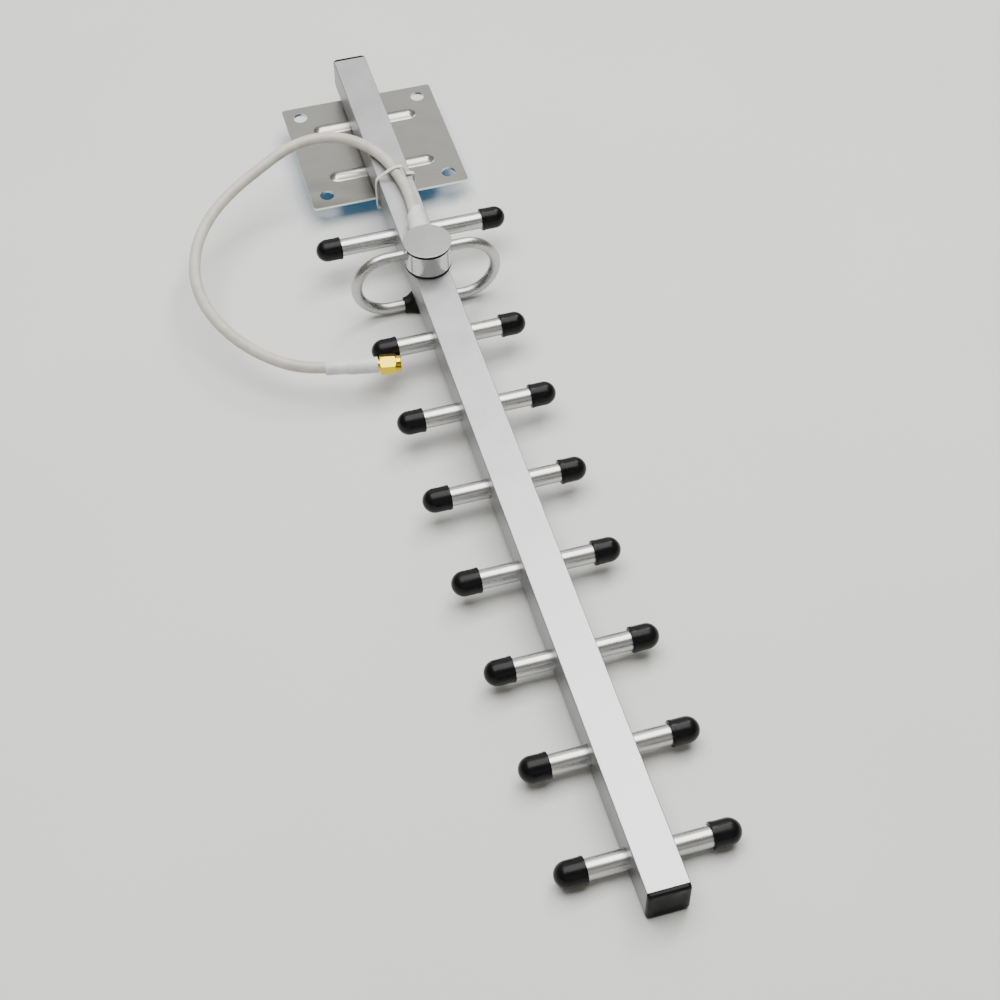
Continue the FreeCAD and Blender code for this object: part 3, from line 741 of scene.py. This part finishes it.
def make_strain_relief():
    """Shrink sleeve from the housing wall: bulky, a little crumpled, cut off at a slant."""
    line = cable_line()
    start_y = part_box("strain_relief_sleeve")[0].y
    rest_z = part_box("boom")[1].z + 0.05 * MM

    def at(y):
        """Place and direction of the cable's middle where it passes y."""
        for near, far in zip(line, line[1:]):
            if near.y <= y <= far.y:
                share = (y - near.y) / (far.y - near.y)
                return near.lerp(far, share), (far - near).normalized()
        raise ValueError(f"the cable does not pass y = {y:g}")

    def spoke(angle, share, length):
        """The cable's middle at a share of the slanted length, and the way out at an angle."""
        centre, way = at(start_y + share * (length + RELIEF_SLANT * math.cos(angle)))
        side = way.cross(Z_AXIS).normalized()
        up = side.cross(way)
        return centre, math.cos(angle) * side + math.sin(angle) * up

    angles = [2 * math.pi * i / ROUND_STEPS for i in range(ROUND_STEPS)]
    rings = []
    for share, swell in RELIEF_STATIONS:
        ring = []
        for angle in angles:
            centre, out = spoke(angle, share, RELIEF_LENGTH)
            fold = noise.noise((centre + out * RELIEF_RADIUS) / CRUMPLE_SIZE)
            place = centre + out * (RELIEF_RADIUS * swell + RELIEF_CRUMPLE * share * fold)
            place.z = max(place.z, rest_z)
            ring.append(place)
        rings.append(ring)
    inner = []
    for angle in angles:
        centre, out = spoke(angle, 1, RELIEF_LENGTH - RELIEF_LIP)
        inner.append(centre + out * (CABLE_DIAMETER / 2))
    rings.append(inner)
    mesh = loft("strain_relief", rings)
    add_piece("strain_relief", mesh, WHITE_SLEEVE, "white_sleeve", "antenna",
              "strain_relief_sleeve")


def turned(name, profile, closed=False, wobble=0.0):
    """Turns a profile in millimetres about the connector's axis."""
    scaled = [(along * MM, radius * MM) for along, radius in profile]
    return lathe(name, scaled, CONNECTOR_REAR, CONNECTOR_WAY, closed=closed, wobble=wobble)


def make_connector_sleeve():
    """Shrink sleeve over the ferrule and the cable's end, with the ferrule's step showing."""
    mesh = turned("connector_sleeve", SLEEVE_PROFILE, wobble=SLEEVE_WOBBLE)
    add_piece("connector_sleeve", mesh, WHITE_SLEEVE, "white_sleeve", "antenna",
              "connector_heatshrink")


def make_thread():
    """Crests of the nut's internal thread, as fine rings set in its bore."""
    profile = [(THREAD_END, THREAD_BACK_R), (THREAD_START, THREAD_BACK_R)]
    for turn in range(THREAD_TURNS):
        start = THREAD_START + THREAD_PITCH * turn
        profile += [(start, THREAD_ROOT_R), (start + 0.28, THREAD_CREST_R),
                    (start + 0.38, THREAD_CREST_R), (start + 0.64, THREAD_ROOT_R)]
    mesh = turned("nut_thread", profile, closed=True)
    add_piece("nut_thread", mesh, GOLD, "gold_plate", "nut")


make_strain_relief()
make_connector_sleeve()
make_thread()


# ---------------------------------------------------------------- stage
FLOOR_GAP = 0.1 * MM
FLOOR_SIZE = 12
FLOOR_DARK, FLOOR_LIGHT = (0.600, 0.603, 0.588), (0.625, 0.628, 0.612)
FIBRE_SIZE, FIBRE_DEPTH = 2 * MM, 2e-5
PATCH_SIZE = 150 * MM
ROOM_COLOUR = (1.0, 0.96, 0.80, 1)
ROOM_STRENGTH = 0.22


def make_stage():
    """A pale floor through the boot's underside and the front plug's, which carry the antenna."""
    saddle_y = middle_of("dipole_saddle").y
    saddle_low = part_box("dipole_saddle")[0].z - FLOOR_GAP
    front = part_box("boom_plug_front")[0]
    slope = (front.z - saddle_low) / (front.y - saddle_y)
    bpy.ops.mesh.primitive_plane_add(size=FLOOR_SIZE)
    floor = bpy.context.object
    floor.name = "floor"
    floor.rotation_euler = (math.atan(slope), 0, 0)
    floor.location = (0, saddle_y, saddle_low)
    made = material("floor_paper", grey(0.62, 0.004), 0.6)
    fibres = noise_field(made, FIBRE_SIZE, 4.0)
    patches = noise_field(made, PATCH_SIZE, 2.0)
    set_colour(made, colour_between(made, patches, FLOOR_DARK, FLOOR_LIGHT))
    set_bump(made, fibres, FIBRE_DEPTH)
    floor.data.materials.append(made)


def soft_light(name, place, aim, size, power):
    """A rectangular soft box at a place, facing a point."""
    data = bpy.data.lights.new(name, "AREA")
    data.shape = "RECTANGLE"
    data.size = size[0]
    data.size_y = size[1]
    data.energy = power
    light = bpy.data.objects.new(name, data)
    bpy.context.scene.collection.objects.link(light)
    light.location = place
    light.rotation_euler = (Vector(aim) - Vector(place)).to_track_quat("-Z", "Y").to_euler()


def make_lights():
    """A pale room, with soft boxes overhead, behind, at the right rear and weakly in front."""
    world = bpy.data.worlds.new("studio")
    bpy.context.scene.world = world
    world.use_nodes = True
    background = world.node_tree.nodes["Background"]
    background.inputs["Color"].default_value = ROOM_COLOUR
    background.inputs["Strength"].default_value = ROOM_STRENGTH
    middle = (0, -0.2, 0)
    soft_light("overhead", (0.0, 0.1, 1.5), (0, 0.1, 0), (1.7, 1.5), 54)
    soft_light("rear", (0.2, 2.2, 1.3), middle, (2.6, 1.4), 12)
    soft_light("right_rear", (1.0, 0.8, 1.5), middle, (0.5, 0.5), 12)
    soft_light("front_fill", (-0.3, -2.6, 1.2), middle, (2.6, 1.4), 5)


make_stage()
make_lights()
